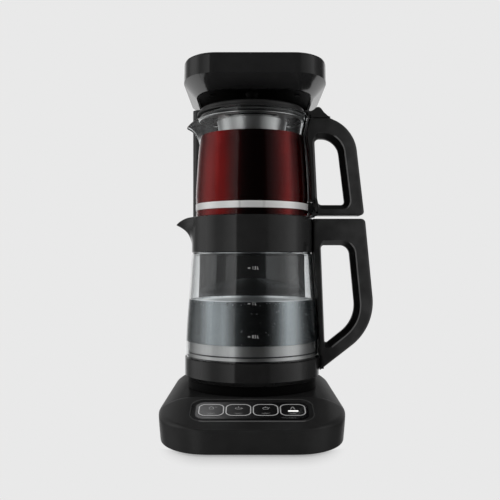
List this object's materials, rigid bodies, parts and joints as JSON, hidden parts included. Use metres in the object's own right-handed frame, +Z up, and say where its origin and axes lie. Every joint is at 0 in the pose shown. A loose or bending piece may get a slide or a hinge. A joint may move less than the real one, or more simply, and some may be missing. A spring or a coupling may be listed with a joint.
{
  "type": "automatic tea maker",
  "caption": "Automatic tea maker with a glass kettle on a low base, a glass teapot nested in its collar, a rear tower with an overhanging head and touch keys on the front slope.",
  "frame": {"origin": "centre of the footprint of the whole machine with its handles, on the table", "axes": "+Z up, -Y towards the user (the side with the keys), +X towards the handles"},
  "size_m": [0.231, 0.266, 0.403],
  "materials": {
    "gloss_black": "glossy moulded black",
    "satin_black": "satin black with a fine speckled grain",
    "plinth_black": "dull black",
    "panel_black": "mirror-gloss black strip",
    "key_black": "glossy black with a light grey printed outline",
    "key_light": "lit white",
    "inner_plastic": "dark grey moulded nylon",
    "white_plastic": "natural white moulded nylon",
    "clear_glass": "clear borosilicate glass",
    "steel_band": "polished stainless steel",
    "steel_dish": "brushed stainless steel",
    "screw_steel": "zinc-plated steel",
    "element_aluminium": "cast aluminium",
    "contact_brass": "plated brass",
    "black_rubber": "soft black rubber",
    "grey_silicone": "translucent silicone",
    "circuit_green": "green circuit board",
    "part_blue": "blue component cases",
    "motor_steel": "plated motor case"
  },
  "bodies": {
    "machine": {"base_housing": "gloss_black", "base_bottom_plate": "satin_black", "rubber_feet": "black_rubber", "base_screws": "screw_steel", "kettle_plinth": "plinth_black", "dock_connector": "plinth_black", "dock_contacts": "contact_brass", "dock_water_port": "grey_silicone", "control_fascia": "panel_black", "key_circuit_board": "circuit_green", "key_switches": "inner_plastic", "power_board": "circuit_green", "power_parts": "part_blue", "board_screws": "screw_steel", "pump_body": "white_plastic", "pump_motor": "motor_steel", "pump_hose": "grey_silicone", "riser_tube": "grey_silicone", "mains_inlet": "inner_plastic", "tower_front_cover": "gloss_black", "tower_rear_cover": "gloss_black", "tower_screws": "screw_steel", "head_housing": "gloss_black", "head_top_cover": "gloss_black", "head_underside": "plinth_black", "head_screws": "screw_steel", "outlet_nozzle": "inner_plastic", "nozzle_seal": "black_rubber", "wireless_board": "circuit_green"},
    "pump_rotor": {"pump_impeller": "white_plastic"},
    "key_1": {"key_left": "key_black"},
    "key_2": {"key_centre_left": "key_black"},
    "key_3": {"key_centre_right": "key_black"},
    "key_4": {"key_right": "key_black", "key_light_bar": "key_light"},
    "kettle": {"kettle_base_ring": "satin_black", "kettle_glass": "clear_glass", "kettle_collar": "satin_black", "collar_seal": "grey_silicone", "base_seal": "black_rubber", "heater_plate": "steel_dish", "heating_element": "element_aluminium", "thermostat": "inner_plastic", "kettle_valve": "white_plastic", "kettle_underside": "satin_black", "kettle_socket": "inner_plastic", "kettle_handle": "satin_black", "kettle_handle_screws": "screw_steel"},
    "teapot": {"teapot_glass": "clear_glass", "teapot_band": "steel_band", "band_clamp": "satin_black", "teapot_handle": "satin_black", "clamp_screw": "screw_steel", "infuser_basket": "steel_dish", "infuser_rim": "steel_dish"},
    "lid": {"teapot_lid": "satin_black", "lid_seal": "grey_silicone", "lid_inlet_grid": "inner_plastic", "lid_tab": "satin_black", "lid_hinge_pin": "screw_steel"}
  },
  "joints": [
    {"name": "kettle_pull_out", "type": "slide", "parent": "machine", "child": "kettle", "axis": [0, -1, 0], "range_m": [0, 0.27]},
    {"name": "teapot_lift", "type": "slide", "parent": "kettle", "child": "teapot", "axis": [0, 0, 1], "range_m": [0, 0.011]},
    {"name": "lid_hinge", "type": "hinge", "parent": "teapot", "child": "lid", "pos_m": [0.06482, 0.005, 0.3399], "axis": [0, 1, 0], "range_deg": [0, 6]},
    {"name": "pump_spin", "type": "hinge", "parent": "machine", "child": "pump_rotor", "pos_m": [0.03282, 0.038, 0.025], "axis": [0, 1, 0], "continuous": true},
    {"name": "key_1_press", "type": "slide", "parent": "machine", "child": "key_1", "axis": [0, 0.29, -0.957], "range_m": [0, 0.001], "stiffness_N_per_m": 400, "springref_m": -0.001},
    {"name": "key_2_press", "type": "slide", "parent": "machine", "child": "key_2", "axis": [0, 0.29, -0.957], "range_m": [0, 0.001], "stiffness_N_per_m": 400, "springref_m": -0.001},
    {"name": "key_3_press", "type": "slide", "parent": "machine", "child": "key_3", "axis": [0, 0.29, -0.957], "range_m": [0, 0.001], "stiffness_N_per_m": 400, "springref_m": -0.001},
    {"name": "key_4_press", "type": "slide", "parent": "machine", "child": "key_4", "axis": [0, 0.29, -0.957], "range_m": [0, 0.001], "stiffness_N_per_m": 400, "springref_m": -0.001}
  ]
}
